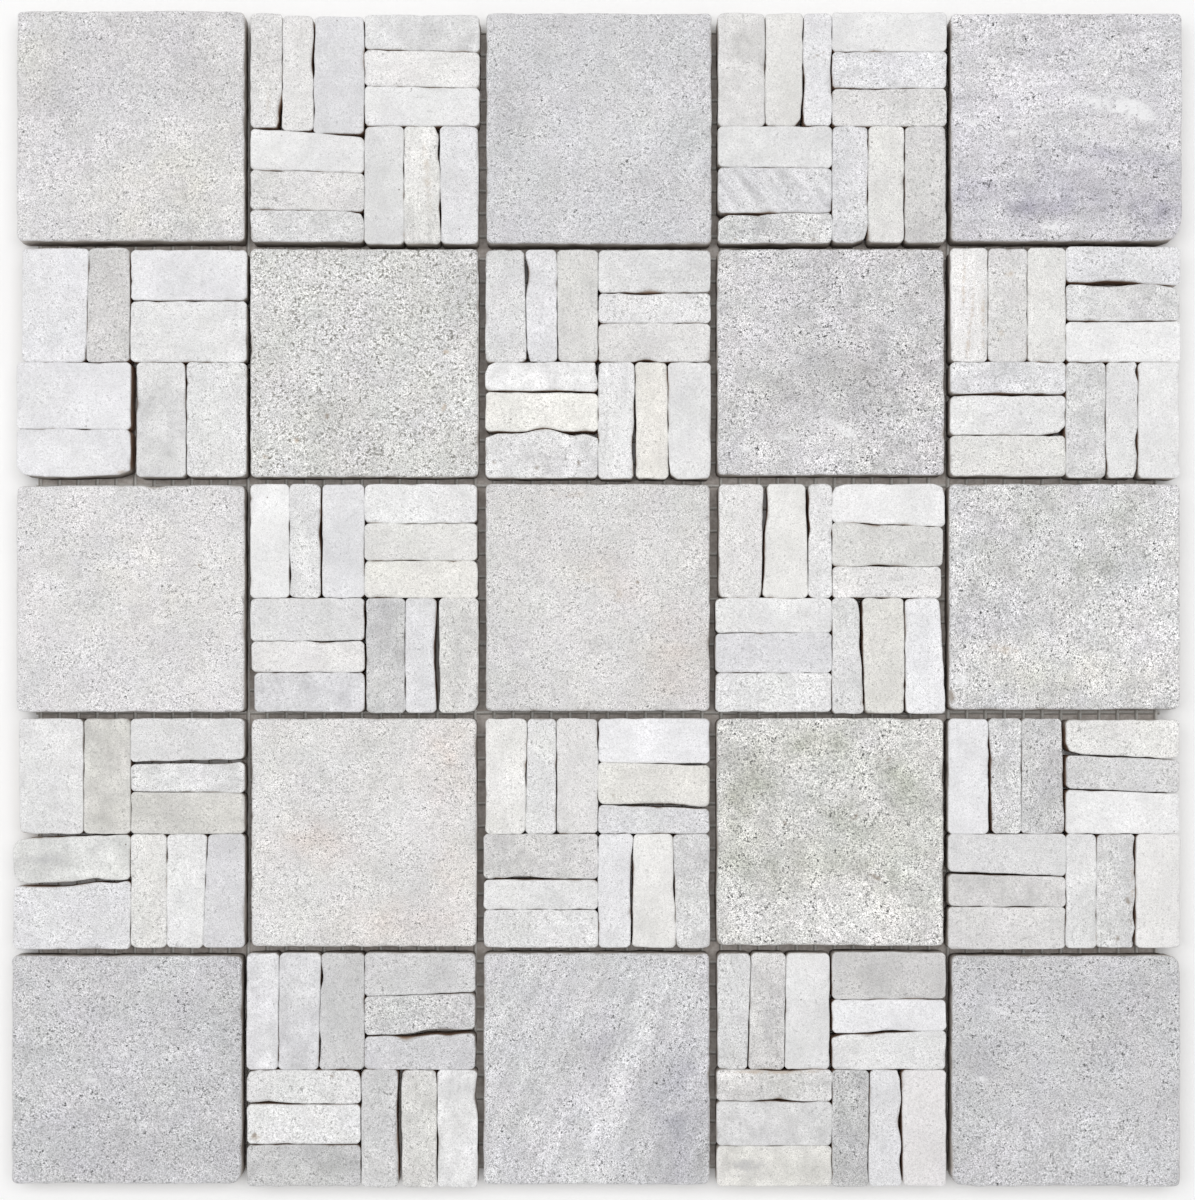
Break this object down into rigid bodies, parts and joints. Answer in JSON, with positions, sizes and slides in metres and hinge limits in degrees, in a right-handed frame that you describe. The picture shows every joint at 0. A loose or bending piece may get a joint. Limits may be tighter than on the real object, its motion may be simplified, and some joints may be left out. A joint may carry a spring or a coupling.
{
  "type": "mosaic tile sheet",
  "caption": "Square stone mosaic sheet on backing mesh: tumbled pale quartzite, large square tiles chequered with basket-weave blocks of small bars.",
  "frame": {"origin": "middle of the underside, where the backing mesh lies on the floor", "axes": "+Z out of the stone face, +X to the picture's right across the sheet, +Y to the picture's top along the sheet"},
  "size_m": [0.3053, 0.307, 0.0105],
  "materials": {
    "stone": "tumbled, matt",
    "backing_mesh": "coated glass-fibre yarn"
  },
  "bodies": {
    "root": {"square_tile_r1c1": "stone", "square_tile_r1c3": "stone", "square_tile_r1c5": "stone", "square_tile_r2c2": "stone", "square_tile_r2c4": "stone", "square_tile_r3c1": "stone", "square_tile_r3c3": "stone", "square_tile_r3c5": "stone", "square_tile_r4c2": "stone", "square_tile_r4c4": "stone", "square_tile_r5c1": "stone", "square_tile_r5c3": "stone", "square_tile_r5c5": "stone", "bar_block_r1c2": "stone", "bar_block_r1c4": "stone", "bar_block_r2c1": "stone", "bar_block_r2c3": "stone", "bar_block_r2c5": "stone", "bar_block_r3c2": "stone", "bar_block_r3c4": "stone", "bar_block_r4c1": "stone", "bar_block_r4c3": "stone", "bar_block_r4c5": "stone", "bar_block_r5c2": "stone", "bar_block_r5c4": "stone", "mesh_yarns_crosswise": "backing_mesh", "mesh_yarns_lengthwise": "backing_mesh"}
  },
  "joints": []
}
